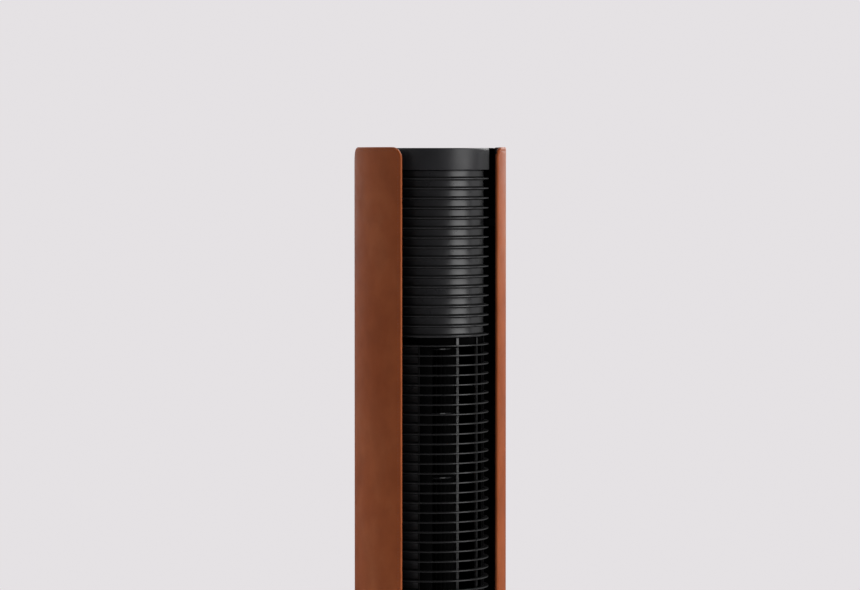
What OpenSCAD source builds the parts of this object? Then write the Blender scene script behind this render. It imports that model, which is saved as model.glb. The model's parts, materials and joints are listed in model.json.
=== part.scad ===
// Tower air purifier: a finned black column between two leather-clad side shells, on a round base.
// Millimetres, +Z up, origin on the floor under the middle of the base, front towards -Y.

/* [Column] */
// Radius of the smooth cap and of the bottom ring
column_r = 70; // [69.8:0.1:71]
// Radius to the tips of the fins
fin_r = 69.5; // [69:0.1:69.6]
// Radius of the drum behind the fins
drum_r = 63.3; // [63:0.1:64]
// Wall of the drum
drum_wall = 2.5; // [2.4:0.1:2.6]
// Spacing of the fins
fin_pitch = 11.5; // [11:0.1:12]
// Thickness of one fin
fin_t = 1.5; // [1.2:0.1:1.8]
// Fins round the closed upper drum
upper_fins = 17; // [15:1:19]
// Fins across the open outlet section
outlet_fins = 42; // [38:1:46]
// Fins round the closed lower drum
lower_fins = 14; // [13:1:16]
// Height of the smooth cap on top
cap_h = 25.5; // [24:0.5:28]
// Height of the smooth ring at the bottom
ring_h = 18.7; // [18:0.1:20]

/* [Outlet] */
// Left edge of the outlet, as an angle from the front
outlet_from = -33.5; // [-36:0.5:-32]
// Right edge of the outlet
outlet_to = 69.7; // [68:0.1:71]
// Radius of the rounded lip that ends the left wall
lip_r = 14; // [13:0.5:14]
// Outer radius of the impeller's blades
impeller_r = 29.5; // [28:0.5:30]
// Blades round the impeller
blades = 30; // [24:1:32]
// Sections that the impeller is divided into
impeller_sections = 6; // [5:1:7]

/* [Side shells] */
// Outer radius of the leather-clad shells
shell_r = 90; // [89.5:0.1:91]
// Thickness of the rigid panel under the leather
panel_t = 3.2; // [3:0.1:3.4]
// Thickness of the leather
leather_t = 1.2; // [1:0.1:1.3]
// Front edge of each shell, as an angle from the front
shell_from = 42.4; // [41:0.1:44]
// Rear edge of each shell
shell_to = 104; // [102:0.5:105]
// Radius of the rounded corners on the shells' front edge
front_corner = 13; // [11:0.5:14]
// Radius of the rounded corners on the shells' rear edge
rear_corner = 17; // [14:0.5:18]
// Height of the shells' lower edge above the floor
shell_z0 = 58; // [54:1:62]

/* [Base] */
// Radius of the base
base_r = 140; // [138:1:144]
// Height at which the turning column starts
column_z0 = 46; // [45.9:0.1:46.2]

/* [Rear door] */
// Hinged edge of the filter door, as an angle from the front
hinge_at = 115; // [114.5:0.1:115.5]
// Free edge of the filter door
door_to = 241.3; // [241:0.1:241.5]
// Thickness of the filter between its faces
filter_t = 14.2; // [12:0.1:14.2]
// Pleats in the filter
pleats = 48; // [36:1:54]

/* [Hidden] */
$fn = 96;

// Heights up the column
seam = 1;
fin_margin = 9.4;
wall_lap = 0.9;
closed_lap = 2;
lower_drum_z0 = column_z0 + ring_h + seam;
lowest_fin_z = lower_drum_z0 + fin_margin;
first_open = lower_fins;
last_open = lower_fins + outlet_fins - 1;
last_fin = last_open + upper_fins;
lower_drum_z1 = fin_z(first_open - 1) + closed_lap;
open_z0 = fin_z(first_open) - wall_lap;
open_z1 = fin_z(last_open) + wall_lap;
upper_drum_z0 = fin_z(last_open + 1) - closed_lap;
upper_drum_z1 = fin_z(last_fin) + fin_margin;
cap_z0 = upper_drum_z1 + seam;
cap_z1 = cap_z0 + cap_h;
shell_z1 = cap_z1 + 1;

// Radii inside the column
drum_in = drum_r - drum_wall;
spigot_r = drum_in - 0.3;
groove_r = drum_r - 0.8;
flange_t = 3;
duct_z0 = open_z0 + flange_t;
duct_z1 = open_z1 - flange_t;

// Base
foot_h = 2.5;
plate_z0 = 2;
plate_t = 8;
plate_z1 = plate_z0 + plate_t;
plate_r = base_r - 3.4;
feet = 6;
foot_ring_r = 118;
foot_r = 11;
base_screw_ring_r = 98;
neck_in = 62;
neck_out = 66;
floor_z0 = 31;
floor_z1 = 34;
cable_hole_r = 24;

// Swing bearing and gears
stem_r = 26;
stem_in = 20;
stem_foot_r = 30;
stem_foot_z1 = 45.2;
stem_z1 = 66;
gear_teeth = 48;
pinion_teeth = 12;
gear_centres = 50;
gear_module = 2 * gear_centres / (gear_teeth + pinion_teeth);
gear_pitch_r = gear_module * gear_teeth / 2;
pinion_pitch_r = gear_module * pinion_teeth / 2;
gear_z0 = 38;
gear_z1 = 44.5;
turntable_z0 = 46.5;
turntable_t = 4;
hub_r = 33.5;
bush_r = 29.5;
running_fit = 0.06;
pinion_shaft_r = 3;

// Impeller
outlet_ribs = [[8, 11.6], [38.6, 40.8], [outlet_to - 2.4, outlet_to - 0.2]];
rib_out = drum_r + 0.6;
shaft_r = 4;
stub_r = 3;
impeller_z0 = 243.5 + open_z0 - 235.2;
impeller_z1 = open_z1 - 5.5;
blade_in_r = 24;
disc_t = 2;

// Filter door
pin_r = 2;
pin_at_r = 66;
knuckle_r = 3.5;
wall_end = 110.5;
door_from = 119;
door_z0 = open_z0 + 0.6;
door_z1 = open_z1 - 0.5;
shelf_z0 = open_z0 + flange_t + 0.8;
shelf_t = 2.5;
mesh_t = 0.6;
filter_z0 = shelf_z0 + shelf_t + 0.3;
filter_z1 = open_z1 - 9.5;
filter_out = 59.2;
filter_in = filter_out - filter_t;
filter_from = 128;
filter_to = 232;
latch_at = 230.5;
latch_w = 14;
latch_h = 34;
latch_z = (open_z0 + open_z1) / 2;

// Side shells
panel_out = shell_r - leather_t;
panel_in = panel_out - panel_t;
standoff_r = 4;
screw_r = 1.5;
rail_at = 98;
rail_turn = 3;
low_fin = 6;
high_fin = last_fin - 5;
front_standoffs = [for (side = [-1, 1]) for (k = [low_fin, high_fin]) [side * 74, k]];
rail_bosses = [
    for (side = [-1, 1]) for (k = [low_fin, first_open + 10, last_open - 10, high_fin]) [side * rail_at, k],
];
standoffs = concat(front_standoffs, rail_bosses);

// Buttons on the top
button_ring_r = 38;
button_r = 7;
button_flange_r = 8.2;
panel_disc_z0 = cap_z1 - 3;
panel_disc_t = 2.4;
button_angles = [-48, -16, 16, 48];
board_z0 = cap_z1 - 12.6;
board_t = 1.6;

black = "#1b1b1d";
dark = "#2b2b2e";
steel = "#a9adb0";
leather = "#7a4529";

function fin_z(k) = lowest_fin_z + fin_pitch * k;
function polar(r, angle) = [r * cos(angle), r * sin(angle)];
function arc(centre, r, from, to, steps) =
    [for (i = [0:steps]) centre + polar(r, from + (to - from) * i / steps)];
// A point at radius r and an angle counted from the front towards +X
function spot(r, angle) = polar(r, angle - 90);

// Turns children so that their +X points at an angle from the front
module facing(angle) {
    rotate([0, 0, angle - 90]) children();
}

// Children moved out to radius r along that direction
module placed(r, angle, z = 0) {
    facing(angle) translate([r, 0, z]) children();
}

// Part of a ring between two angles from the front
module sector(r_in, r_out, z0, z1, from, to) {
    facing(from)
        rotate_extrude(angle = to - from)
            translate([r_in, z0]) square([r_out - r_in, z1 - z0]);
}

module ring(r_in, r_out, z0, z1) {
    rotate_extrude() translate([r_in, z0]) square([r_out - r_in, z1 - z0]);
}

// Section of a drum wall with a run of fins standing on it
module finned_section(z0, z1, first, last) {
    polygon(concat(
        [[drum_in, z0], [drum_r, z0]],
        [for (k = [first:last]) for (step = [[0, -1], [1, -1], [1, 1], [0, 1]])
            [step.x == 1 ? fin_r : drum_r, fin_z(k) + step.y * fin_t / 2]],
        [[drum_r, z1], [drum_in, z1]]
    ));
}

// Fins with nothing behind them, between two angles
module open_fins(r_in, from, to) {
    for (k = [first_open:last_open])
        sector(r_in, fin_r, fin_z(k) - fin_t / 2, fin_z(k) + fin_t / 2, from, to);
}

// Radial holes for the screws that hold the shells
module standoff_holes(r0, r1, r) {
    for (s = standoffs)
        placed(r0, s.x, fin_z(s.y) + fin_pitch / 2)
            rotate([0, 90, 0]) cylinder(r = r, h = r1 - r0);
}

// ---- Base ----

module rubber_feet() {
    color("#222222")
        for (i = [0:feet - 1])
            placed(foot_ring_r, 360 * (i + 0.5) / feet)
                cylinder(r = foot_r, h = foot_h + 0.5);
}

module base_plate() {
    color(steel)
        difference() {
            translate([0, 0, plate_z0]) cylinder(r = plate_r, h = plate_t);
            for (i = [0:feet - 1]) {
                placed(foot_ring_r, 360 * (i + 0.5) / feet)
                    cylinder(r = foot_r, h = foot_h + 0.5);
                placed(base_screw_ring_r, 360 * i / feet) {
                    cylinder(r = 2.2, h = 20);
                    cylinder(r = 4.3, h = plate_z0 + 3);
                }
            }
        }
}

module base_screws() {
    color(steel)
        for (i = [0:feet - 1])
            placed(base_screw_ring_r, 360 * i / feet) {
                translate([0, 0, plate_z0 + 0.6]) cylinder(r = 4, h = 2.4);
                translate([0, 0, plate_z0 + 3]) cylinder(r = 2, h = 18);
            }
}

module base_section() {
    shoulder = [base_r - 12, 16];
    neck = [neck_out + 13, column_z0 - 1];
    polygon(concat(
        [[base_r, 3]],
        arc(shoulder, 12, 0, 90, 8),
        arc(neck, 13, -90, -180, 8),
        [[neck_in, column_z0 - 1], [neck_in, floor_z1], [cable_hole_r, floor_z1],
         [cable_hole_r, floor_z0], [70, floor_z0], [82, 29]],
        arc(shoulder, 9, 90, 0, 8),
        [[base_r - 3, 3]]
    ));
}

// Box of the inlet, which ends short of the cover's skin, or the notch that opens through it
module inlet_box(depth) {
    translate([-11, base_r - 22, plate_z1]) cube([22, depth, 8]);
}

module base_cover() {
    color(black)
        difference() {
            union() {
                rotate_extrude() base_section();
                for (i = [0:feet - 1])
                    placed(base_screw_ring_r, 360 * i / feet, plate_z1)
                        cylinder(r = 5.5, h = 17.5);
            }
            for (i = [0:feet - 1])
                placed(base_screw_ring_r, 360 * i / feet) cylinder(r = 2.02, h = 24);
            for (i = [0:3])
                placed(38, 45 + 90 * i, floor_z0 - 1) cylinder(r = 2.1, h = 6);
            placed(gear_centres, 0, floor_z0 - 1) cylinder(r = pinion_shaft_r + 0.4, h = 6);
            inlet_box(30);
        }
}

module pedestal() {
    color(dark)
        difference() {
            rotate_extrude()
                polygon([
                    [stem_in, floor_z1], [46, floor_z1], [46, floor_z1 + 3], [stem_foot_r, floor_z1 + 3],
                    [stem_foot_r, stem_foot_z1], [stem_r, stem_foot_z1], [stem_r, stem_z1], [stem_in, stem_z1],
                ]);
            for (i = [0:3])
                placed(38, 45 + 90 * i, floor_z0) cylinder(r = 1.92, h = 5.5);
            for (i = [0:2])
                placed(23, 120 * i, stem_z1 - 9) cylinder(r = 1.2, h = 20);
        }
}

module pedestal_screws() {
    color(steel) {
        for (i = [0:3])
            placed(38, 45 + 90 * i) {
                translate([0, 0, floor_z0 - 2.2]) cylinder(r = 3.6, h = 2.2);
                translate([0, 0, floor_z0]) cylinder(r = 1.9, h = 5.3);
            }
        for (i = [0:2])
            placed(23, 120 * i) {
                translate([0, 0, stem_z1 - 8]) cylinder(r = 1.18, h = 10.4);
                translate([0, 0, stem_z1 + 2.4]) cylinder(r = 2.4, h = 1.6);
            }
    }
}

module thrust_washer() {
    color("#e8e4d8") ring(stem_r + 0.2, stem_foot_r, stem_foot_z1, stem_foot_z1 + 1);
}

module retaining_plate() {
    color(steel)
        difference() {
            ring(stem_in, 31, stem_z1 + 0.4, stem_z1 + 2.4);
            for (i = [0:2])
                placed(23, 120 * i, stem_z1) cylinder(r = 1.22, h = 4);
        }
}

module swing_motor() {
    color("silver")
        difference() {
            union() {
                placed(gear_centres, 0, 13) cylinder(r = 24, h = 17);
                placed(gear_centres, 0, 29.5) translate([-5, -32, 0]) cube([10, 64, 1.5]);
            }
            placed(gear_centres, 0, 23) cylinder(r = pinion_shaft_r + running_fit, h = 20);
        }
}

module power_board() {
    board_y = 56;
    board_top = 15.6;
    color("darkgreen") {
        translate([-45, board_y, 14]) cube([90, 34, 1.6]);
        for (x = [-40, 40]) for (y = [5, 29])
            translate([x, board_y + y, plate_z1]) cylinder(r = 3, h = 4);
    }
    color("gold") {
        translate([-34, board_y + 6, board_top]) cube([24, 22, 10]);
        translate([0, board_y + 12, board_top]) cylinder(r = 6, h = 10);
        translate([18, board_y + 8, board_top]) cube([14, 18, 9]);
    }
}

// Two-pin inlet, open to the rear
module power_inlet() {
    color("#111111") {
        difference() {
            inlet_box(21);
            translate([-8.5, base_r - 14, plate_z1 + 1]) cube([17, 20, 6]);
        }
        for (x = [-4.3, 4.3])
            translate([x, base_r - 14, plate_z1 + 4]) rotate([-90, 0, 0]) cylinder(r = 1.2, h = 9);
    }
}

// ---- Swing drive ----

// One tooth: a trapezoid with relieved flanks, centred on +X
module tooth(pitch_r, h) {
    root = pitch_r - 1.15 * gear_module;
    tip = pitch_r + 0.85 * gear_module;
    quarter = PI * gear_module / 4;
    linear_extrude(h)
        polygon([
            [root - 1, -1.25 * quarter], [root, -1.25 * quarter], [pitch_r, -0.86 * quarter], [tip, -0.4 * quarter],
            [tip, 0.4 * quarter], [pitch_r, 0.86 * quarter], [root, 1.25 * quarter], [root - 1, 1.25 * quarter],
        ]);
}

module toothed_ring(pitch_r, teeth, h, phase) {
    cylinder(r = pitch_r - 1.15 * gear_module, h = h);
    for (i = [0:teeth - 1])
        rotate([0, 0, phase + 360 * i / teeth]) tooth(pitch_r, h);
}

// Turns with the column; a gap between its teeth faces the front
module swing_gear() {
    color("ivory")
        difference() {
            union() {
                translate([0, 0, gear_z0])
                    rotate([0, 0, -90]) toothed_ring(gear_pitch_r, gear_teeth, gear_z1 - gear_z0, 180 / gear_teeth);
                translate([0, 0, gear_z1]) cylinder(r = 36, h = turntable_z0 - gear_z1);
            }
            translate([0, 0, gear_z0 - 1]) cylinder(r = 31, h = 12);
        }
}

// A tooth of the pinion points back at the gear
module swing_pinion() {
    color("ivory")
        placed(gear_centres, 0) {
            translate([0, 0, gear_z0])
                rotate([0, 0, 180]) toothed_ring(pinion_pitch_r, pinion_teeth, gear_z1 - gear_z0, 0);
            translate([0, 0, 23.3]) cylinder(r = pinion_shaft_r, h = gear_z1 - 23.3 + 0.7);
        }
}

module turntable() {
    color(dark) {
        ring(bush_r, hub_r, turntable_z0, stem_z1);
        ring(hub_r, neck_out + 0.4, turntable_z0, turntable_z0 + turntable_t);
        ring(neck_out - 2, neck_out + 0.4, turntable_z0 + turntable_t, turntable_z0 + 10);
    }
}

module bearing_bush() {
    color("#e8e4d8") ring(stem_r + running_fit, bush_r, turntable_z0, stem_z1 - 0.2);
}

// ---- Column ----

module bottom_ring() {
    ring_z1 = column_z0 + ring_h;
    color(black)
        rotate_extrude()
            polygon(concat(
                [[neck_out + 0.4, column_z0]],
                arc([column_r - 1.5, column_z0 + 1.5], 1.5, -90, 0, 4),
                [[column_r, ring_z1], [spigot_r, ring_z1], [spigot_r, ring_z1 + 6], [spigot_r - 2.5, ring_z1 + 6],
                 [spigot_r - 2.5, ring_z1 - 3], [neck_out + 0.4, ring_z1 - 3]]
            ));
}

module lower_drum() {
    color(black)
        difference() {
            rotate_extrude() finned_section(lower_drum_z0, lower_drum_z1, 0, first_open - 1);
            standoff_holes(50, 75, screw_r + 0.2);
        }
}

// Disc and rim that join a drum to the walls, with a lug for the door's pin in the groove
module bulkhead(bore_r, groove_z0, groove_z1, disc_z0, disc_z1, lug_z0) {
    difference() {
        union() {
            rotate_extrude()
                polygon([
                    [52, groove_z0 - flange_t], [spigot_r, groove_z0 - flange_t], [spigot_r, groove_z0],
                    [groove_r, groove_z0], [groove_r, groove_z1], [spigot_r, groove_z1],
                    [spigot_r, groove_z1 + flange_t], [52, groove_z1 + flange_t],
                ]);
            ring(bore_r, 52, disc_z0, disc_z1);
            placed(53, hinge_at, lug_z0) translate([0, -4, 0]) cube([12, 8, 5]);
            placed(pin_at_r, hinge_at, lug_z0) cylinder(r = 4, h = 5);
        }
        placed(pin_at_r, hinge_at, lug_z0 - 1) cylinder(r = pin_r + 0.02, h = 20);
    }
}

module lower_bulkhead() {
    color(dark)
        difference() {
            bulkhead(10, lower_drum_z1, open_z0, lower_drum_z1, lower_drum_z1 + 4.4, lower_drum_z1 + 2);
            for (i = [0:2])
                placed(26, 120 * i, lower_drum_z1 - 1) cylinder(r = 2.1, h = 8);
        }
}

module upper_bulkhead() {
    color(dark) bulkhead(10, open_z1, upper_drum_z0, upper_drum_z0 - 4.4, upper_drum_z0, open_z1 + 2);
}

module fan_motor() {
    color("silver")
        difference() {
            union() {
                translate([0, 0, lower_drum_z1 - 46]) cylinder(r = 34, h = 46);
                translate([0, 0, lower_drum_z1 - 52]) cylinder(r = 14, h = 6);
            }
            translate([0, 0, lower_drum_z1 - 50]) cylinder(r = shaft_r + running_fit, h = 60);
            for (i = [0:2])
                placed(26, 120 * i, lower_drum_z1 - 12) cylinder(r = 1.92, h = 20);
        }
}

module motor_screws() {
    color(steel)
        for (i = [0:2])
            placed(26, 120 * i) {
                translate([0, 0, lower_drum_z1 - 11]) cylinder(r = 1.9, h = 15.4);
                translate([0, 0, lower_drum_z1 + 4.4]) cylinder(r = 3.5, h = 2.2);
            }
}

module left_wall() {
    color(black)
        difference() {
            facing(-118)
                rotate_extrude(angle = 118 + outlet_from)
                    finned_section(open_z0, open_z1, first_open, last_open);
            standoff_holes(50, 75, screw_r + 0.2);
        }
}

module right_wall() {
    color(black)
        difference() {
            facing(outlet_to)
                rotate_extrude(angle = wall_end - outlet_to)
                    finned_section(open_z0, open_z1, first_open, last_open);
            standoff_holes(50, 75, screw_r + 0.2);
        }
}

module outlet_grille() {
    color(black) {
        open_fins(drum_r, outlet_from, outlet_to);
        sector(drum_r + 0.3, drum_r + 1.4, open_z0, open_z1, outlet_from + 0.3, outlet_from + 2);
        for (rib = outlet_ribs) {
            sector(drum_in, rib_out, open_z0, open_z1, rib.x, rib.y);
            sector(groove_r, rib_out, lower_drum_z1, upper_drum_z0, rib.x, rib.y);
        }
    }
}

// Rounded tongue beside the impeller, which ends the left wall
module stabiliser() {
    color(black)
        placed(drum_r - lip_r, outlet_from, duct_z0)
            rotate_extrude(angle = 200)
                translate([lip_r - 2, 0]) square([2, duct_z1 - duct_z0]);
}

// Scroll wall that winds in from the outlet's right edge to the back of the impeller
module volute() {
    turns_to = 165;
    steps = 20;
    r0 = impeller_r + 3.5;
    reach = spigot_r - 2 - r0;
    path = [for (i = [0:steps])
        let (angle = turns_to + (outlet_to - turns_to) * i / steps)
            [r0 + reach * pow(i / steps, 1.3), angle]];
    color(dark)
        translate([0, 0, duct_z0])
            linear_extrude(duct_z1 - duct_z0)
                polygon(concat(
                    [for (p = path) spot(p.x, p.y)],
                    [for (i = [steps:-1:0]) spot(path[i].x + 2, path[i].y)]
                ));
}

module shaft_bearing() {
    color("#c9a227") ring(stub_r + running_fit, 10, upper_drum_z0 - 8, upper_drum_z0);
}

module upper_drum() {
    color(black)
        difference() {
            rotate_extrude() finned_section(upper_drum_z0, upper_drum_z1, last_open + 1, last_fin);
            standoff_holes(50, 75, screw_r + 0.2);
        }
}

module top_cap() {
    edge = 1.8;
    color(black)
        rotate_extrude()
            polygon(concat(
                [[spigot_r - 3, cap_z0 - 5.5], [spigot_r, cap_z0 - 5.5], [spigot_r, cap_z0], [column_r, cap_z0]],
                arc([column_r - edge, cap_z1 - edge], edge, 0, 90, 5),
                [[60, cap_z1], [60, panel_disc_z0], [55, panel_disc_z0], [55, panel_disc_z0 - 3],
                 [column_r - 3, panel_disc_z0 - 3], [column_r - 3, cap_z0 + 3], [spigot_r - 3, cap_z0 + 3]]
            ));
}

module control_panel() {
    color("#0d0d0f")
        difference() {
            translate([0, 0, panel_disc_z0]) cylinder(r = 59.8, h = panel_disc_t);
            for (at = button_angles)
                placed(button_ring_r, at, panel_disc_z0 - 1) cylinder(r = button_r + 0.3, h = 5);
            translate([0, 0, panel_disc_z0 + panel_disc_t - 0.8]) cylinder(r = 16, h = 2);
        }
}

module control_board() {
    color("darkgreen") {
        translate([0, 0, board_z0]) cylinder(r = 50, h = board_t);
        for (at = [110, 180, 250])
            placed(44, at, board_z0 + board_t) cylinder(r = 2.5, h = panel_disc_z0 - board_z0 - board_t);
    }
    color("#222222") translate([-14, 4, board_z0 - 5]) cube([28, 20, 5]);
}

module button_mat() {
    color("#777777") {
        sector(26, 47, board_z0 + board_t, board_z0 + board_t + 1, -64, 64);
        for (at = button_angles)
            placed(button_ring_r, at, board_z0 + board_t + 1) cylinder(r = 5, h = 3.7);
    }
}

module particle_sensor() {
    color("#333333")
        difference() {
            translate([-23, -8, upper_drum_z0]) cube([46, 38, 17]);
            translate([-12, 11, upper_drum_z0 + 13]) cylinder(r = 6, h = 10);
        }
}

module push_button(at) {
    color("#3c3c40")
        placed(button_ring_r, at) {
            translate([0, 0, panel_disc_z0 - 2]) cylinder(r = button_flange_r, h = 1.4);
            translate([0, 0, panel_disc_z0 - 0.6]) cylinder(r = button_r, h = panel_disc_t + 1.2);
        }
}

module power_button() {
    push_button(button_angles[0]);
}

module speed_button() {
    push_button(button_angles[1]);
}

module swing_button() {
    push_button(button_angles[2]);
}

module timer_button() {
    push_button(button_angles[3]);
}

// ---- Impeller ----

module impeller() {
    section_h = (impeller_z1 - disc_t - impeller_z0) / impeller_sections;
    rim_r = impeller_r + 0.3;
    color("#202024")
        difference() {
            union() {
                for (i = [0:blades - 1])
                    rotate([0, 0, 360 * i / blades])
                        translate([0, 0, impeller_z0])
                            linear_extrude(impeller_z1 - impeller_z0)
                                polygon([[blade_in_r, 0], [27, 1.1], [impeller_r, 3.2],
                                         [impeller_r - 0.5, 3.9], [26.6, 1.9], [blade_in_r - 0.2, 0.9]]);
                for (i = [1:impeller_sections - 1])
                    ring(blade_in_r - 1, rim_r, impeller_z0 + section_h * i, impeller_z0 + section_h * i + disc_t);
                ring(0, rim_r, impeller_z0, impeller_z0 + disc_t);
                ring(0, 10, impeller_z0, impeller_z0 + 18);
                ring(0, rim_r, impeller_z1 - disc_t, impeller_z1);
                ring(0, 8, impeller_z1 - 14, impeller_z1);
            }
            translate([0, 0, impeller_z0 - 1]) cylinder(r = shaft_r + 0.02, h = 21);
            translate([0, 0, impeller_z1 - 16]) cylinder(r = stub_r + 0.02, h = 20);
        }
}

module impeller_shafts() {
    color(steel) {
        translate([0, 0, lower_drum_z1 - 49]) cylinder(r = shaft_r, h = impeller_z0 + 18 - lower_drum_z1 + 49);
        translate([0, 0, impeller_z1 - 14]) cylinder(r = stub_r, h = upper_drum_z0 - 1 - impeller_z1 + 14);
    }
}

// ---- Filter door ----

module hinge_pin() {
    color(steel)
        placed(pin_at_r, hinge_at, lower_drum_z1 + 1) cylinder(r = pin_r, h = upper_drum_z0 - lower_drum_z1 - 2);
}

// Shelf that carries the filter, with a lip along its inner edge
module filter_shelf() {
    lip_in = filter_in - 1.8;
    lip_out = filter_in - 1;
    outer = drum_in + 0.8;
    shelf_z1 = shelf_z0 + shelf_t;
    lip_z1 = shelf_z0 + 7;
    facing(filter_from - 0.2)
        rotate_extrude(angle = filter_to - filter_from + 1.2)
            polygon([[lip_in, shelf_z0], [outer, shelf_z0], [outer, shelf_z1], [lip_out, shelf_z1],
                     [lip_out, lip_z1], [lip_in, lip_z1]]);
}

module filter_door() {
    windows = 5;
    post = 2.6;
    step = (door_to - door_from - post) / windows;
    color(black)
        difference() {
            union() {
                open_fins(drum_in + 1, door_from + 0.3, door_to - 0.3);
                difference() {
                    sector(drum_in, drum_r, door_z0, door_z1, door_from, door_to);
                    for (i = [0:windows - 1])
                        sector(drum_in - 1, drum_r + 1, door_z0 + 6.2, door_z1 - 3,
                               door_from + post + i * step, door_from + (i + 1) * step);
                }
                filter_shelf();
                sector(drum_in + 0.1, drum_in + 1.1, latch_z - 22, latch_z + 22, door_to - post - 21.8, door_to - 2.1);
                placed(pin_at_r, hinge_at, door_z0) cylinder(r = knuckle_r, h = door_z1 - door_z0);
                sector(64, 67, door_z0 + 0.4, door_z1 - 0.4, hinge_at + 2.2, door_from + 0.9);
                sector(62.4, 66, door_z0 + 0.7, door_z1 - 0.7, door_from - 0.6, door_from + 1.6);
            }
            placed(pin_at_r, hinge_at, door_z0 - 1)
                cylinder(r = pin_r + running_fit, h = door_z1 - door_z0 + 2);
            placed(drum_in + 0.95, latch_at, latch_z)
                translate([0, -latch_w / 2 - 0.6, -latch_h / 2 - 1]) cube([12, latch_w + 1.2, latch_h + 2]);
        }
}

module prefilter_mesh() {
    color("#444444")
        sector(drum_in - mesh_t, drum_in, filter_z0 + 2, filter_z1 - 2, 122, 238);
}

module filter_frame() {
    edge = 2;
    color("white")
        difference() {
            sector(filter_in, filter_out, filter_z0, filter_z1, filter_from, filter_to);
            sector(filter_in - 1, filter_out + 1, filter_z0 + edge, filter_z1 - edge,
                   filter_from + edge, filter_to - edge);
        }
}

// One sheet folded to and fro between the frame's two open faces
module filter_media() {
    from = filter_from + 2.6;
    to = filter_to - 2.6;
    inner = filter_in + 1.2;
    outer = filter_out - 1.2;
    sheet = 0.45;
    folds = 2 * pleats;
    function fold(i, side) =
        spot(i % 2 == 0 ? inner + side * sheet : outer + side * sheet, from + (to - from) * i / folds);
    color("#f1efe8")
        translate([0, 0, filter_z0 + 2])
            linear_extrude(filter_z1 - filter_z0 - 4)
                polygon(concat([for (i = [0:folds]) fold(i, -1)], [for (i = [folds:-1:0]) fold(i, 1)]));
}

module filter_tab() {
    color("#3a6ea5") sector(filter_in - 1.2, filter_in, filter_z1 - 46, filter_z1 - 2, 228.2, 231.8);
}

module door_latch() {
    color("#3c3c40")
        placed(64, latch_at, latch_z)
            translate([0, -latch_w / 2, -latch_h / 2]) cube([5.6, latch_w, latch_h]);
}

module latch_keeper() {
    color(dark) sector(drum_in - 4, drum_in, latch_z - 15, latch_z + 15, -117.6, -112);
}

// ---- Side shells ----

// Removes the four corners of a shell, seen along its middle direction
module corner_cutters(inset) {
    edge = shell_r * sin((shell_to - shell_from) / 2) - inset;
    past_edge = 0.2;
    reach = 6;
    depth = 50;
    placed(60, (shell_from + shell_to) / 2)
        for (side = [-1, 1]) for (end = [-1, 1]) {
            corner = (side < 0 ? front_corner : rear_corner) - inset;
            across = edge + past_edge - corner;
            shell_end = end > 0 ? shell_z1 : -shell_z0;
            up = shell_end - inset + past_edge - corner;
            quarter = concat(
                arc([0, 0], corner, 0, 90, 8),
                [[0, corner + reach], [corner + reach, corner + reach], [corner + reach, 0]]
            );
            rotate([0, 90, 0])
                linear_extrude(depth)
                    polygon([for (p = quarter) [-end * (up + p.x), side * (across + p.y)]]);
        }
}

// The space of a shell from radius r_in to r_out, drawn in from its edges
module shell_space(r_in, r_out, inset) {
    turn = inset / shell_r * 180 / PI;
    difference() {
        sector(r_in, r_out, shell_z0 + inset, shell_z1 - inset, shell_from + turn, shell_to - turn);
        corner_cutters(inset);
    }
}

module right_shell_raw() {
    difference() {
        shell_space(panel_in, panel_out, leather_t);
        standoff_holes(70, panel_out - 0.6, screw_r + 0.02);
    }
}

module right_leather_raw() {
    difference() {
        shell_space(panel_in, shell_r, 0);
        shell_space(panel_in - 1, panel_out, leather_t);
    }
}

module right_shell() {
    color(dark) right_shell_raw();
}

module left_shell() {
    color(dark) mirror([1, 0, 0]) right_shell_raw();
}

module right_leather() {
    color(leather) right_leather_raw();
}

module left_leather() {
    color(leather) mirror([1, 0, 0]) right_leather_raw();
}

// Hollow bosses that reach from the column out to a shell
module bosses(places) {
    for (s = places)
        intersection() {
            placed(60, s.x, fin_z(s.y) + fin_pitch / 2)
                rotate([0, 90, 0]) cylinder(r = standoff_r, h = 30);
            ring(drum_r, panel_in, 0, shell_z1);
        }
}

// Upright wall between the column and the rear of each shell, which closes the gap
module shell_rails() {
    color(black)
        difference() {
            union() {
                for (side = [-1, 1])
                    sector(column_r + 0.3, panel_in, shell_z0 + 6, shell_z1 - 0.7,
                           side * rail_at - rail_turn / 2, side * rail_at + rail_turn / 2);
                bosses(rail_bosses);
            }
            standoff_holes(55, 95, screw_r + 0.2);
        }
}

module shell_standoffs() {
    color(dark)
        difference() {
            bosses(front_standoffs);
            standoff_holes(55, 95, screw_r + 0.2);
        }
}

module shell_screws() {
    color(steel)
        for (s = standoffs)
            placed(0, s.x, fin_z(s.y) + fin_pitch / 2)
                rotate([0, 90, 0]) {
                    translate([0, 0, drum_in - 2.6]) cylinder(r = 3.2, h = 2.4);
                    translate([0, 0, drum_in - 0.2]) cylinder(r = screw_r, h = panel_out - 1 - drum_in);
                }
}

rubber_feet();
base_plate();
base_cover();
base_screws();
pedestal();
pedestal_screws();
thrust_washer();
retaining_plate();
swing_motor();
power_board();
power_inlet();
swing_pinion();
turntable();
bearing_bush();
swing_gear();
bottom_ring();
lower_drum();
lower_bulkhead();
fan_motor();
motor_screws();
left_wall();
right_wall();
outlet_grille();
stabiliser();
volute();
upper_bulkhead();
shaft_bearing();
upper_drum();
top_cap();
control_panel();
control_board();
button_mat();
particle_sensor();
hinge_pin();
latch_keeper();
left_shell();
left_leather();
right_shell();
right_leather();
shell_rails();
shell_standoffs();
shell_screws();
impeller();
impeller_shafts();
filter_door();
prefilter_mesh();
filter_frame();
filter_media();
filter_tab();
door_latch();
power_button();
speed_button();
swing_button();
timer_button();
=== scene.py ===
import json
import math
import random

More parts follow.
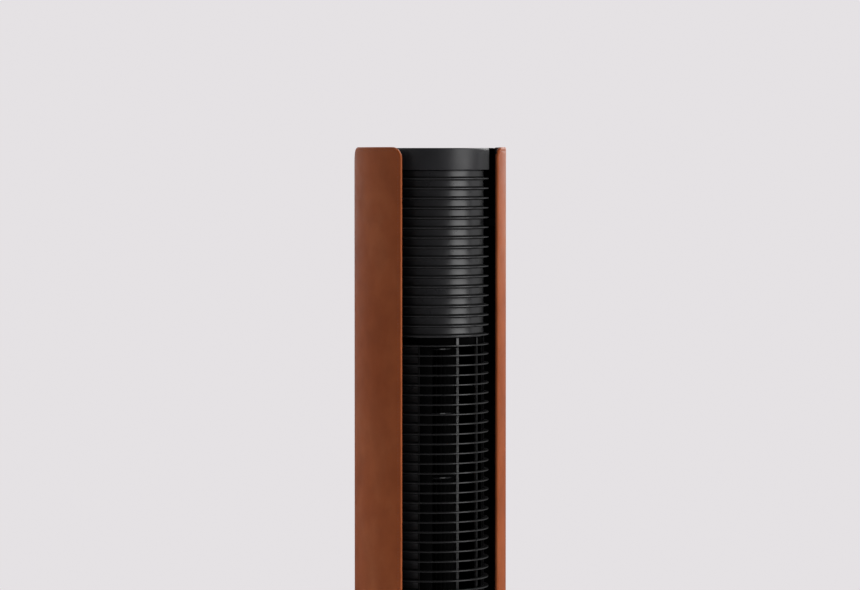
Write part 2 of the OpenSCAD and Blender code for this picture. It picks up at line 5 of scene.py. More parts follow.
import bmesh
import bpy
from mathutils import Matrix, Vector


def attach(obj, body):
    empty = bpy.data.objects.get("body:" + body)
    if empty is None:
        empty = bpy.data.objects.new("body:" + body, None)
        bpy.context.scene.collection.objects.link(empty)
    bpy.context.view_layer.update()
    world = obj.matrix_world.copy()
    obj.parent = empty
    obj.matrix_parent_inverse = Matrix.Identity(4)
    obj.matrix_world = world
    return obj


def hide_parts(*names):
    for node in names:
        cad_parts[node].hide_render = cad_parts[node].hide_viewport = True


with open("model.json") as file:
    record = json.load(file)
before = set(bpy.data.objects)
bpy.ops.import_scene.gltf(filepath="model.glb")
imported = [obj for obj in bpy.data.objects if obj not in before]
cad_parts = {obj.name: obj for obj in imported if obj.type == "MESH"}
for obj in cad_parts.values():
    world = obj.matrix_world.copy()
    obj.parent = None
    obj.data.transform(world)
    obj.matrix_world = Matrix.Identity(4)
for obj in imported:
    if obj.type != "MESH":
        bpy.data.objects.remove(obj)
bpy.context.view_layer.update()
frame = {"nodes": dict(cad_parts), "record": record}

# Angles are in degrees, counted from the front (-Y) towards +X.

# ---- Camera: its place in metres ----

CAMERA_ANGLE = -20.5
CAMERA_DISTANCE = 4.5
CAMERA_HEIGHT = 0.925
AIM_HEIGHT = 0.765
LENS = 159
SENSOR_WIDTH = 36

camera = bpy.data.objects.new("camera", bpy.data.cameras.new("camera"))
bpy.context.scene.collection.objects.link(camera)
bpy.context.scene.camera = camera
camera.data.lens = LENS
camera.data.sensor_width = SENSOR_WIDTH
camera.data.clip_start = 0.1
camera.data.clip_end = 100
camera.location = (
    CAMERA_DISTANCE * math.sin(math.radians(CAMERA_ANGLE)),
    -CAMERA_DISTANCE * math.cos(math.radians(CAMERA_ANGLE)),
    CAMERA_HEIGHT,
)
camera.rotation_euler = (
    math.radians(90) - math.atan((CAMERA_HEIGHT - AIM_HEIGHT) / CAMERA_DISTANCE),
    0,
    math.radians(CAMERA_ANGLE),
)

# ---- Sizes, the same as the CAD part's. These and all shapes are in millimetres ----

MM = 0.001

COLUMN_R = 70
FIN_R = 69.5
DRUM_R = 63.3
DRUM_IN = 60.8
SPIGOT_R = 60.5
RIB_OUT = DRUM_R + 0.6
GROOVE_R = DRUM_R - 0.8

# Fins are numbered upwards from 0. The open ones have no drum behind them.
FIN_PITCH = 11.5
FIN_T = 1.5
LOWEST_FIN_Z = 75.1
FIRST_OPEN = 14
LAST_OPEN = 55
LAST_FIN = 72

COLUMN_Z0 = 46
CAP_Z0 = 913.5
CAP_Z1 = 939

SHELL_R = 90
PANEL_IN = 85.6
PANEL_OUT = 88.8
SHELL_Z0 = 58
SHELL_Z1 = 940
SHELL_FROM = 42.4
SHELL_TO = 104
FRONT_CORNER = 13
REAR_CORNER = 17

OUTLET_FROM = -33.5
OUTLET_TO = 69.7
LEFT_WALL_FROM = -118
RIGHT_WALL_TO = 110.5
HINGE_AT = 115
HINGE_R = 66
DOOR_FROM = 119
DOOR_TO = 241.3
LATCH_AT = 230.5
LATCH_Z = 471.85
BUTTON_RING_R = 38
BUTTON_ANGLES = {"power_button": -48, "speed_button": -16, "swing_button": 16, "timer_button": 48}


def fin_z(k):
    return LOWEST_FIN_Z + FIN_PITCH * k


OPEN_Z0 = fin_z(FIRST_OPEN) - 0.9
OPEN_Z1 = fin_z(LAST_OPEN) + 0.9
LOWER_DRUM_Z0 = 65.7
LOWER_DRUM_Z1 = fin_z(FIRST_OPEN - 1) + 2
UPPER_DRUM_Z0 = fin_z(LAST_OPEN + 1) - 2
UPPER_DRUM_Z1 = 912.5
DOOR_Z0 = OPEN_Z0 + 0.6
DOOR_Z1 = OPEN_Z1 - 0.5


def spot(r, angle, z=0.0):
    """The point at a radius, an angle from the front and a height."""
    a = math.radians(angle)
    return (r * math.sin(a), -r * math.cos(a), z)


# ---- Mesh building ----


def rounded(corners, steps=4):
    """An outline from (u, v, radius) corners, with an arc at each corner that has a radius."""
    outline = []
    for i, (u, v, radius) in enumerate(corners):
        here = Vector((u, v))
        if not radius:
            outline.append((u, v))
            continue
        before = (Vector(corners[i - 1][:2]) - here).normalized()
        after = (Vector(corners[(i + 1) % len(corners)][:2]) - here).normalized()
        half = before.angle(after) / 2
        centre = here + (before + after).normalized() * radius / math.sin(half)
        first = here + before * radius / math.tan(half) - centre
        last = here + after * radius / math.tan(half) - centre
        turn = first.angle_signed(last)
        for step in range(steps + 1):
            a = -turn * step / steps
            outline.append((
                centre.x + first.x * math.cos(a) - first.y * math.sin(a),
                centre.y + first.x * math.sin(a) + first.y * math.cos(a),
            ))
    return outline


def revolved(outline, start=0.0, end=360.0, step=3.0, centre=(0.0, 0.0)):
    """A closed (r, z) outline turned about an upright axis between two angles."""
    full = end - start >= 360
    count = max(2, round((end - start) / step))
    turns = [start + (end - start) * i / count for i in range(count + (not full))]
    n = len(outline)
    verts = [spot(r, a, z) for a in turns for r, z in outline]
    verts = [(x + centre[0], y + centre[1], z) for x, y, z in verts]
    faces = []
    for i in range(count):
        a, b = i * n, (i + 1) % len(turns) * n
        faces += [(a + j, b + j, b + (j + 1) % n, a + (j + 1) % n) for j in range(n)]
    if not full:
        faces += [tuple(range(n)), tuple(reversed(range(count * n, count * n + n)))]
    return verts, faces


def prism(outline, z0, z1, chamfer=0.0):
    """An outline in plan pushed up from z0 to z1, its ends drawn in by a small chamfer."""
    n = len(outline)
    middle = Vector((sum(p[0] for p in outline) / n, sum(p[1] for p in outline) / n))
    levels = [(z0, 0.0), (z1, 0.0)]
    if chamfer:
        levels = [(z0, chamfer), (z0 + chamfer, 0.0), (z1 - chamfer, 0.0), (z1, chamfer)]
    verts = []
    for z, inset in levels:
        for p in outline:
            q = Vector(p[:2])
            q -= (q - middle).normalized() * inset
            verts.append((q.x, q.y, z))
    faces = []
    for k in range(len(levels) - 1):
        a, b = k * n, (k + 1) * n
        faces += [(a + j, a + (j + 1) % n, b + (j + 1) % n, b + j) for j in range(n)]
    last = (len(levels) - 1) * n
    faces += [tuple(reversed(range(n))), tuple(range(last, last + n))]
    return verts, faces


def joined(*parts):
    """Several (vertices, faces) shapes as one."""
    verts, faces = [], []
    for part_verts, part_faces in parts:
        faces += [tuple(i + len(verts) for i in f) for f in part_faces]
        verts += part_verts
    return verts, faces


def mesh_object(name, shape, sharp=35.0):
    """An object from a shape, smooth except at edges sharper than an angle."""
    verts, faces = shape
    mesh = bpy.data.meshes.new(name)
    mesh.from_pydata([(x * MM, y * MM, z * MM) for x, y, z in verts], [], faces)
    b = bmesh.new()
    b.from_mesh(mesh)
    bmesh.ops.remove_doubles(b, verts=b.verts, dist=1e-7)
    bmesh.ops.recalc_face_normals(b, faces=b.faces)
    bmesh.ops.triangulate(b, faces=[f for f in b.faces if len(f.verts) > 4])
    b.to_mesh(mesh)
    b.free()
    smooth_by_angle(mesh, sharp)
    piece = bpy.data.objects.new(name, mesh)
    bpy.context.scene.collection.objects.link(piece)
    return piece


def smooth_by_angle(mesh, sharp):
    mesh.shade_smooth()
    mesh.set_sharp_from_angle(angle=math.radians(sharp))


def make(name, shape, body, slot, replaces=(), cut=None, sharp=35.0):
    """A finished piece: built, cut if need be, painted, set riding, and standing for its CAD nodes."""
    piece = mesh_object(name, shape, sharp)
    if cut:
        cutter = mesh_object("cutter", cut)
        modifier = piece.modifiers.new("cut", "BOOLEAN")
        modifier.operation = "DIFFERENCE"
        modifier.solver = "EXACT"
        modifier.object = cutter
        graph = bpy.context.evaluated_depsgraph_get()
        whole = piece.data
        piece.data = bpy.data.meshes.new_from_object(piece.evaluated_get(graph))
        piece.modifiers.clear()
        piece.data.name = name
        bpy.data.meshes.remove(whole)
        bpy.data.objects.remove(cutter)
        smooth_by_angle(piece.data, sharp)
    piece.data.materials.clear()
    piece.data.materials.append(MATERIALS[slot])
    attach(piece, body)
    if replaces:
        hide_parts(*replaces)
    return piece


# ---- Materials ----

COLUMN_GREY = (0.036, 0.036, 0.039)


class Tree:
    """A material's node tree around one Principled shader."""

    def __init__(self, name, roughness, **sockets):
        self.material = bpy.data.materials.new(name)
        self.material.use_nodes = True
        self.nodes = self.material.node_tree.nodes
        self.shader = self.nodes["Principled BSDF"]
        self.place = self.nodes.new("ShaderNodeTexCoord").outputs["Object"]
        self.shader.inputs["Roughness"].default_value = roughness
        for socket, value in sockets.items():
            self.shader.inputs[socket.replace("_", " ")].default_value = value

    def link(self, output, target):
        self.material.node_tree.links.new(output, target)

    def stretched(self, scale):
        mapping = self.nodes.new("ShaderNodeMapping")
        mapping.inputs["Scale"].default_value = scale
        self.link(self.place, mapping.inputs["Vector"])
        return mapping.outputs["Vector"]

    def noise(self, scale, detail=3.0, stretch=(1, 1, 1)):
        texture = self.nodes.new("ShaderNodeTexNoise")
        texture.inputs["Scale"].default_value = scale
        texture.inputs["Detail"].default_value = detail
        self.link(self.stretched(stretch), texture.inputs["Vector"])
        return texture.outputs["Fac"]

    def radius(self):
        """Distance from the object's upright axis, in metres."""
        flat = self.nodes.new("ShaderNodeVectorMath")
        flat.operation = "MULTIPLY"
        flat.inputs[1].default_value = (1, 1, 0)
        self.link(self.place, flat.inputs[0])
        length = self.nodes.new("ShaderNodeVectorMath")
        length.operation = "LENGTH"
        self.link(flat.outputs["Vector"], length.inputs[0])
        return length.outputs["Value"]

    def band(self, value, stops):
        """A level that follows (value, level) stops."""
        first, last = stops[0][0], stops[-1][0]
        place = self.nodes.new("ShaderNodeMapRange")
        place.inputs["From Min"].default_value = first
        place.inputs["From Max"].default_value = last
        self.link(value, place.inputs["Value"])
        greys = [((at - first) / (last - first), (level,) * 3) for at, level in stops]
        return self.ramp(place.outputs["Result"], greys)

    def product(self, a, b):
        """Two colours multiplied. Sockets 6 and 7 take colours, and output 2 is one."""
        mix = self.nodes.new("ShaderNodeMix")
        mix.data_type = "RGBA"
        mix.blend_type = "MULTIPLY"
        mix.inputs["Factor"].default_value = 1
        self.link(a, mix.inputs[6])
        self.link(b, mix.inputs[7])
        return mix.outputs[2]

    def cells(self, scale, feature):
        texture = self.nodes.new("ShaderNodeTexVoronoi")
        texture.feature = feature
        texture.inputs["Scale"].default_value = scale
        self.link(self.place, texture.inputs["Vector"])
        return texture.outputs["Distance"]

    def ramp(self, source, stops):
        """A colour that follows (position, colour) stops."""
        ramp = self.nodes.new("ShaderNodeValToRGB")
        elements = ramp.color_ramp.elements
        while len(elements) < len(stops):
            elements.new(0.5)
        for element, (position, colour) in zip(elements, stops):
            element.position = position
            element.color = (*colour, 1)
        self.link(source, ramp.inputs["Fac"])
        return ramp.outputs["Color"]

    def spread(self, source, low, high):
        """A noise's usual range stretched to run from low to high."""
        spread = self.nodes.new("ShaderNodeMapRange")
        spread.inputs["From Min"].default_value = 0.3
        spread.inputs["From Max"].default_value = 0.7
        spread.inputs["To Min"].default_value = low
        spread.inputs["To Max"].default_value = high
        self.link(source, spread.inputs["Value"])
        return spread.outputs["Result"]

    def bump(self, height, depth, strength, under=None):
        """A surface texture of a depth in millimetres, on top of another one if there is one under it."""
        bump = self.nodes.new("ShaderNodeBump")
        bump.inputs["Strength"].default_value = strength
        bump.inputs["Distance"].default_value = depth * MM
        self.link(height, bump.inputs["Height"])
        if under:
            self.link(under, bump.inputs["Normal"])
        self.link(bump.outputs["Normal"], self.shader.inputs["Normal"])
        return bump.outputs["Normal"]

    def colour(self, output):
        self.link(output, self.shader.inputs["Base Color"])

    def roughness(self, output):
        self.link(output, self.shader.inputs["Roughness"])


def tint(colour, factor):
    return tuple(min(1.0, c * factor) for c in colour)


def moulded(name, colour, roughness, texture=0.012, variation=0.08, **sockets):
    """Moulded plastic: a fine spark-eroded texture, with faint cloudiness in colour and gloss."""
    tree = Tree(name, roughness, **sockets)
    cloud = tree.noise(24, 4)
    tree.colour(tree.ramp(cloud, [(0.3, tint(colour, 1 - variation)), (0.7, tint(colour, 1 + variation))]))
    tree.roughness(tree.spread(tree.noise(60, 5), roughness - 0.035, roughness + 0.035))
    tree.bump(tree.noise(2600, 2), texture, 0.6)
    return tree.material


def finned_plastic(name, root_r, grey):
    """Semi-gloss black plastic. The fins' roots and flanks are rougher, and painted near black as the shade
    between the fins.
    """
    tree = Tree(name, 0.3)
    radius = tree.radius()
    face = (root_r + 0.07) * MM
    tip = (FIN_R - 0.5) * MM

    def levels(smooth, rough_and_shaded):
        """One level on the drum's face and the fins' tips, and another on the fins between them."""
        return tree.band(radius, [
            (face - 0.00003, smooth),
            (face + 0.00003, rough_and_shaded),
            (tip - 0.0002, rough_and_shaded),
            (tip, smooth),
        ])

    plain = tree.ramp(tree.noise(24, 4), [(0.3, tint(grey, 0.94)), (0.7, tint(grey, 1.06))])
    # painted shade: the colour drops to 3% on the fins' roots and flanks, where shade falls between the fins
    tree.colour(tree.product(plain, levels(1, 0.03)))
    total = tree.nodes.new("ShaderNodeMath")
    total.operation = "ADD"
    total.use_clamp = True
    tree.link(tree.spread(tree.noise(60, 5), 0.27, 0.34), total.inputs[0])
    tree.link(levels(0, 0.6), total.inputs[1])
    tree.roughness(total.outputs["Value"])
    tree.bump(tree.noise(2600, 2), 0.008, 0.6)
    return tree.material


def impeller_plastic():
    """Matt blades, painted near black as the shade inside the column, between discs with polished rims."""
    tree = Tree("impeller_black", 0.5, Specular_IOR_Level=0.3)
    polished = tree.band(tree.radius(), [(0.0294, 0), (0.0296, 1)])
    # painted shade: the blades' colour is near zero, and the rims are dark grey
    tree.colour(tree.ramp(polished, [(0.0, (0.001, 0.001, 0.0011)), (1.0, (0.012, 0.012, 0.013))]))
    tree.roughness(tree.ramp(polished, [(0.0, (0.95,) * 3), (1.0, (0.12,) * 3)]))
    tree.bump(tree.noise(2600, 2), 0.006, 0.4)
    return tree.material


def brushed(name, colour, roughness, stretch):
    """Bare metal with fine drawn lines."""
    tree = Tree(name, roughness, Metallic=1.0)
    lines = tree.noise(900, 4, stretch)
    tree.colour(tree.ramp(tree.noise(40, 3), [(0.3, tint(colour, 0.9)), (0.7, tint(colour, 1.06))]))
    tree.roughness(tree.spread(lines, roughness - 0.08, roughness + 0.1))
    tree.bump(lines, 0.01, 0.5)
    return tree.material


def leather_material():
    """Smooth tan leather with a worn, blotchy patina, a fine pebble grain and a satin finish."""
    tree = Tree("leather", 0.43, Specular_IOR_Level=0.17)
    dye = tree.ramp(tree.noise(14, 6, (1, 1, 0.5)), [
        (0.3, (0.37, 0.079, 0.018)),
        (0.45, (0.43, 0.104, 0.029)),
        (0.56, (0.45, 0.112, 0.033)),
        (0.7, (0.50, 0.143, 0.049)),
    ])
    wear = tree.ramp(tree.noise(42, 5, (1, 1, 0.8)), [(0.36, (0.88, 0.87, 0.86)), (0.62, (1.0, 1.0, 1.0))])
    # By radius in metres: dark where the hem turns under, and pale along the outer fold, a painted highlight.
    edge = tree.band(tree.radius(), [
        (0.0856, 0.25),
        (0.0866, 0.3),
        (0.0874, 0.8),
        (0.0882, 1.0),
        (0.0890, 1.35),
        (0.0896, 1.4),
        (0.08975, 1.0),
    ])
    tree.colour(tree.product(tree.product(dye, wear), edge))
    tree.roughness(tree.spread(tree.noise(70, 4), 0.37, 0.5))
    pores = tree.bump(tree.noise(2400, 3), 0.03, 0.5)
    creases = tree.bump(tree.noise(160, 5), 0.12, 0.25, under=pores)
    tree.bump(tree.cells(820, "SMOOTH_F1"), 0.09, 0.45, under=creases)
    return tree.material


def thread_material():
    """Thread in a colour near the leather's, with a faint sheen."""
    tree = Tree("thread", 0.55, Sheen_Weight=0.25)
    tree.colour(tree.ramp(tree.noise(500, 2), [(0.35, (0.29, 0.072, 0.022)), (0.65, (0.40, 0.11, 0.04))]))
    tree.bump(tree.noise(1800, 2, (1, 1, 3)), 0.06, 0.7)
    return tree.material


def paper_material():
    """Off-white filter paper with upright fibres."""
    tree = Tree("filter_paper", 0.92)
    fibres = tree.noise(900, 5, (1, 1, 0.25))
    tree.colour(tree.ramp(fibres, [(0.3, (0.66, 0.655, 0.62)), (0.7, (0.83, 0.825, 0.79))]))
    tree.bump(fibres, 0.05, 0.6)
    return tree.material


def board_material():
    """Lacquered green circuit board with darker fields between its tracks."""
    tree = Tree("circuit_board", 0.42, Coat_Weight=0.3, Coat_Roughness=0.2)
    tracks = tree.cells(230, "DISTANCE_TO_EDGE")
    tree.colour(tree.ramp(tracks, [(0.02, (0.02, 0.11, 0.045)), (0.06, (0.008, 0.055, 0.022))]))
    tree.bump(tracks, 0.03, 0.4)
    return tree.material


def gauze_material():
    """Thin black wire."""
    tree = Tree("mesh", 0.5)
    tree.colour(tree.ramp(tree.noise(300, 3), [(0.3, (0.012, 0.012, 0.013)), (0.7, (0.024, 0.024, 0.026))]))
    tree.bump(tree.noise(2200, 2, (1, 1, 2)), 0.02, 0.5)
    return tree.material


MATERIALS = {
    "leather": leather_material(),
    "column_black": finned_plastic("column_black", DRUM_R, COLUMN_GREY),
    "satin_black": moulded("satin_black", (0.013, 0.013, 0.014), 0.4, 0.02),
    "panel_black": moulded("panel_black", (0.006, 0.006, 0.007), 0.45, 0.006, Specular_IOR_Level=0.25),
    "shell_panel": moulded("shell_panel", (0.003, 0.003, 0.0032), 0.8, 0.03, Specular_IOR_Level=0.2),
    "impeller_black": impeller_plastic(),
    "button_grey": moulded("button_grey", (0.036, 0.036, 0.04), 0.36, 0.012),
    "rubber": moulded("rubber", (0.016, 0.016, 0.016), 0.78, 0.05),
    "nylon": moulded("nylon", (0.72, 0.70, 0.62), 0.48, 0.01, Subsurface_Weight=0.12, Subsurface_Scale=0.002),
    "filter_frame": moulded("filter_frame", (0.74, 0.74, 0.73), 0.55, 0.02),
    "tab": moulded("tab", (0.05, 0.16, 0.36), 0.45, 0.015),
    "steel": brushed("steel", (0.56, 0.57, 0.58), 0.3, (1, 1, 8)),
    "motor_can": brushed("motor_can", (0.44, 0.45, 0.46), 0.4, (1, 1, 12)),
    "brass": brushed("brass", (0.62, 0.42, 0.16), 0.28, (1, 1, 8)),
    "circuit_board": board_material(),
    "filter_paper": paper_material(),
    "mesh": gauze_material(),
}
ICON_WHITE = moulded("icon_white", (0.62, 0.63, 0.64), 0.4, 0.004)
THREAD = thread_material()
GRILLE_BLACK = finned_plastic("grille_black", RIB_OUT, tint(COLUMN_GREY, 0.45))
CAP_BLACK = moulded("cap_black", (0.03, 0.03, 0.033), 0.4, 0.01, Specular_IOR_Level=0.38)
# painted shade: a near-zero colour for parts inside the column and behind the shells, which lie in deep shade
SHADE_BLACK = moulded("shade_black", (0.0008, 0.0008, 0.0009), 0.85, 0.03, Specular_IOR_Level=0.06)
DARK_NODES = ("lower_bulkhead", "upper_bulkhead", "volute", "shell_standoffs", "shell_rails")

# Every CAD node gets its material, including those that a finer piece replaces below.
for part in frame["record"]["subparts"]:
    cad = frame["nodes"][part["node"]]
    cad.data.materials.clear()
    # the dark nodes get the painted shade black
    dark = part["node"] in DARK_NODES
    cad.data.materials.append(SHADE_BLACK if dark else MATERIALS[part["material_slot"]])

# ---- Column: finned drums and walls, cap and ring ----

TIP_ROUND = 0.42
ROOT_ABOVE = 2.3
ROOT_BELOW = 1.8


def finned_outline(z0, z1, first, last, edge=0.5):
    """A tube wall with fins outside. Where an end leaves little room, a fin's root fillet is smaller."""
    half = FIN_T / 2
    corners = [(DRUM_IN, z0, 0), (DRUM_R, z0, edge)]
    for z in [fin_z(k) for k in range(first, last + 1)]:
        below = min(ROOT_BELOW, z - half - z0 - edge)
        above = min(ROOT_ABOVE, z1 - z - half - edge)
        corners += [(DRUM_R, z - half, below), (FIN_R, z - half, TIP_ROUND)]
        corners += [(FIN_R, z + half, TIP_ROUND), (DRUM_R, z + half, above)]
    corners += [(DRUM_R, z1, edge), (DRUM_IN, z1, 0)]
    return rounded(corners)


def bare_fin(k, inner, start, end):
    """A fin with nothing behind it, its inner edge rounded too."""
    half = FIN_T / 2
    z = fin_z(k)
    return revolved(rounded([
        (inner, z - half, 0.3), (FIN_R, z - half, TIP_ROUND),
        (FIN_R, z + half, TIP_ROUND), (inner, z + half, 0.3),
    ]), start, end)


def upright(r0, r1, start, end, z0, z1, edge=0.35):
    """An upright bar that fills part of a ring, with rounded edges."""
    middle = (start + end) / 2
    half0 = math.radians(end - start) / 2 * r0
    half1 = math.radians(end - start) / 2 * r1
    plan = rounded([(-half0, r0, edge), (half0, r0, edge), (half1, r1, edge), (-half1, r1, edge)])
    # The bar's sides are radial and its faces follow the ring, so its plan is bent round the axis.
    bent = [spot(r, middle + math.degrees(u / r))[:2] for u, r in plan]
    return prism(bent, z0, z1, 0.15)


make("lower_drum_finned", revolved(finned_outline(LOWER_DRUM_Z0, LOWER_DRUM_Z1, 0, FIRST_OPEN - 1, 0.1)),
     "tower", "column_black", ["lower_drum"])
make("upper_drum_finned", revolved(finned_outline(UPPER_DRUM_Z0, UPPER_DRUM_Z1, LAST_OPEN + 1, LAST_FIN)),
     "tower", "column_black", ["upper_drum"])
wall_outline = finned_outline(OPEN_Z0, OPEN_Z1, FIRST_OPEN, LAST_OPEN, 0.1)
make("left_wall_finned", revolved(wall_outline, LEFT_WALL_FROM, OUTLET_FROM),
     "tower", "column_black", ["left_wall"])
make("right_wall_finned", revolved(wall_outline, OUTLET_TO, RIGHT_WALL_TO),
     "tower", "column_black", ["right_wall"])

CAP_WALL = 3
CAP_SPIGOT_H = 5.5
PANEL_SEAT_R = 60
PANEL_SEAT_IN = 55

cap_outline = rounded([
    (SPIGOT_R - CAP_WALL, CAP_Z0 - CAP_SPIGOT_H, 0),
    (SPIGOT_R, CAP_Z0 - CAP_SPIGOT_H, 0),
    (SPIGOT_R, CAP_Z0, 0),
    (COLUMN_R, CAP_Z0, 0.5),
    (COLUMN_R, CAP_Z1, 1.8),
    (PANEL_SEAT_R, CAP_Z1, 0.4),
    (PANEL_SEAT_R, CAP_Z1 - CAP_WALL, 0),
    (PANEL_SEAT_IN, CAP_Z1 - CAP_WALL, 0),
    (PANEL_SEAT_IN, CAP_Z1 - 2 * CAP_WALL, 0),
    (COLUMN_R - CAP_WALL, CAP_Z1 - 2 * CAP_WALL, 0),
    (COLUMN_R - CAP_WALL, CAP_Z0 + CAP_WALL, 0),
    (SPIGOT_R - CAP_WALL, CAP_Z0 + CAP_WALL, 0),
], 8)
cap = make("top_cap_turned", revolved(cap_outline, step=2.5), "tower", "column_black", ["top_cap"])
cap.data.materials[0] = CAP_BLACK

RING_IN = 66.4
RING_Z1 = COLUMN_Z0 + 18.7
RING_TOP_T = 3
RING_SPIGOT_H = 6
RING_SPIGOT_IN = SPIGOT_R - 2.5

ring_outline = rounded([
    (RING_IN, COLUMN_Z0, 0),
    (COLUMN_R, COLUMN_Z0, 1.5),
    (COLUMN_R, RING_Z1, 0.5),
    (SPIGOT_R, RING_Z1, 0),
    (SPIGOT_R, RING_Z1 + RING_SPIGOT_H, 0),
    (RING_SPIGOT_IN, RING_Z1 + RING_SPIGOT_H, 0),
    (RING_SPIGOT_IN, RING_Z1 - RING_TOP_T, 0),
    (RING_IN, RING_Z1 - RING_TOP_T, 0),
], 6)
make("bottom_ring_turned", revolved(ring_outline, step=2.5), "tower", "column_black", ["bottom_ring"])

# ---- Outlet: open fins, ribs and the rounded lip beside the impeller ----

OPEN_FINS = range(FIRST_OPEN, LAST_OPEN + 1)
RIBS = ((8, 11.6), (38.6, 40.8), (OUTLET_TO - 2.4, OUTLET_TO - 0.2))

outlet_parts = [bare_fin(k, DRUM_R - 0.2, OUTLET_FROM + 0.02, OUTLET_TO - 0.02) for k in OPEN_FINS]
for start, end in RIBS:
    outlet_parts.append(upright(DRUM_IN, RIB_OUT, start, end, OPEN_Z0, OPEN_Z1))
    # a thinner strip carries each rib on to the drums above and below
    strip_z = (LOWER_DRUM_Z1 + 0.05, UPPER_DRUM_Z0 - 0.05)
    outlet_parts.append(upright(GROOVE_R + 0.1, RIB_OUT, start, end, *strip_z))
outlet_parts.append(upright(DRUM_R + 0.25, DRUM_R + 1.4, OUTLET_FROM + 0.3, OUTLET_FROM + 2,
                            OPEN_Z0, OPEN_Z1, 0.2))
grille = make("outlet_grille_fins", joined(*outlet_parts), "tower", "column_black", ["outlet_grille"])
grille.data.materials[0] = GRILLE_BLACK

LIP_R = 14
LIP_WALL = 2
LIP_TURN = 200


def lip_outline():
    """Plan of the tongue: a tube wall that curls from the left wall's edge round towards the impeller."""
    centre = Vector(spot(DRUM_R - LIP_R, OUTLET_FROM)[:2])
    steps = 48
    outer, inner = [], []
    for i in range(steps + 1):
        turn = OUTLET_FROM + LIP_TURN * i / steps
        outer.append(tuple(centre + Vector(spot(LIP_R, turn)[:2])))
        inner.append(tuple(centre + Vector(spot(LIP_R - LIP_WALL, turn)[:2])))
    return outer + inner[::-1]


lip_shape = prism(lip_outline(), OPEN_Z0 + 3, OPEN_Z1 - 3)
lip = make("stabiliser_lip", lip_shape, "tower", "column_black", ["stabiliser"])
# the lip is painted near black, as the shade inside the column
lip.data.materials[0] = SHADE_BLACK

# ---- Impeller: curved blades held by discs ----

IMPELLER_Z0 = 243.5
IMPELLER_Z1 = 703.0
IMPELLER_R = 29.8
BLADES = 30
BLADE_IN = 23.9
BLADE_DEPTH = 5.5
SECTIONS = 6
DISC_T = 2
DISC_IN = 22.9
END_DISC_IN = 3.1


def blade_plan(turn):
    """A curved aerofoil blade, leading at its outer edge."""
    steps = 8
    front, back = [], []
    for i in range(steps + 1):
        t = i / steps
        r = BLADE_IN + BLADE_DEPTH * t
        sweep = 0.4 + 3.1 * t ** 1.6
        half = 0.18 + 0.32 * math.sin(math.pi * min(1, t * 0.92 + 0.06))
        for side, shift in ((front, half), (back, -half)):
            side.append(spot(r, turn + math.degrees((sweep + shift) / r))[:2])
    return front + back[::-1]


def hub(bore_r, bottom_r, top_r, z0, z1):
    """A tapered tube for the shaft."""
    return revolved([(bore_r, z0), (bottom_r, z0), (top_r, z1), (bore_r, z1)])


impeller_parts = []
for i in range(BLADES):
    impeller_parts.append(prism(blade_plan(360 / BLADES * i), IMPELLER_Z0 + 0.5, IMPELLER_Z1 - 0.5))
section_h = (IMPELLER_Z1 - DISC_T - IMPELLER_Z0) / SECTIONS
for i in range(SECTIONS + 1):
    z = IMPELLER_Z0 + section_h * i
    inner = DISC_IN if 0 < i < SECTIONS else END_DISC_IN
    impeller_parts.append(revolved(rounded([
        (inner, z, 0.3), (IMPELLER_R, z, 0.5), (IMPELLER_R, z + DISC_T, 0.5), (inner, z + DISC_T, 0.3),
    ])))
# hubs for the shafts at the bottom and at the top
impeller_parts.append(hub(4.05, 10, 9.4, IMPELLER_Z0 + DISC_T, IMPELLER_Z0 + 18))
impeller_parts.append(hub(3.05, 7.5, 8, IMPELLER_Z1 - 14, IMPELLER_Z1 - DISC_T))
make("impeller_blades", joined(*impeller_parts), "fan", "impeller_black", ["impeller"])

# ---- Leather on the side shells ----

EDGE_U = math.radians((SHELL_TO - SHELL_FROM) / 2) * SHELL_R
SHELL_MIDDLE = (SHELL_FROM + SHELL_TO) / 2
CORNER_STEPS = 12
ROWS = 60
COLUMNS = 30


def side_points(inset, rear):
    """(u, z) points up one upright edge of the shell, from the bottom corner's start to the top's end."""
    corner = REAR_CORNER if rear else FRONT_CORNER
    radius = corner - inset
    centre_u = EDGE_U - corner
    low, high = SHELL_Z0 + corner, SHELL_Z1 - corner
    turns = [90 * i / CORNER_STEPS for i in range(CORNER_STEPS + 1)]
    points = [(centre_u + radius * math.sin(math.radians(t)), low - radius * math.cos(math.radians(t)))
              for t in turns]
    points += [(centre_u + radius, low + (high - low) * i / ROWS) for i in range(1, ROWS)]
    points += [(centre_u + radius * math.cos(math.radians(t)), high + radius * math.sin(math.radians(t)))
               for t in turns]
    sign = 1 if rear else -1
    return [(sign * u, z) for u, z in points]


def shell_grid(inset):
    """Rows of (u, z) across the shell at one inset from its edges."""
    front, rear = side_points(inset, False), side_points(inset, True)
    return [
        [(f[0] + (r[0] - f[0]) * j / COLUMNS, f[1] + (r[1] - f[1]) * j / COLUMNS) for j in range(COLUMNS + 1)]
        for f, r in zip(front, rear)
    ]


def rim_of(grid):
    """The points round the edge of a grid, in order."""
    return (grid[0] + [row[-1] for row in grid[1:-1]] + grid[-1][::-1] + [row[0] for row in grid[-2:0:-1]])


def on_shell(u, z, r, side):
    """A point at arc distance u from the shell's middle, on the +X shell or mirrored onto the other."""
    x, y, z = spot(r, SHELL_MIDDLE + math.degrees(u / SHELL_R), z)
    return (side * x, y, z)


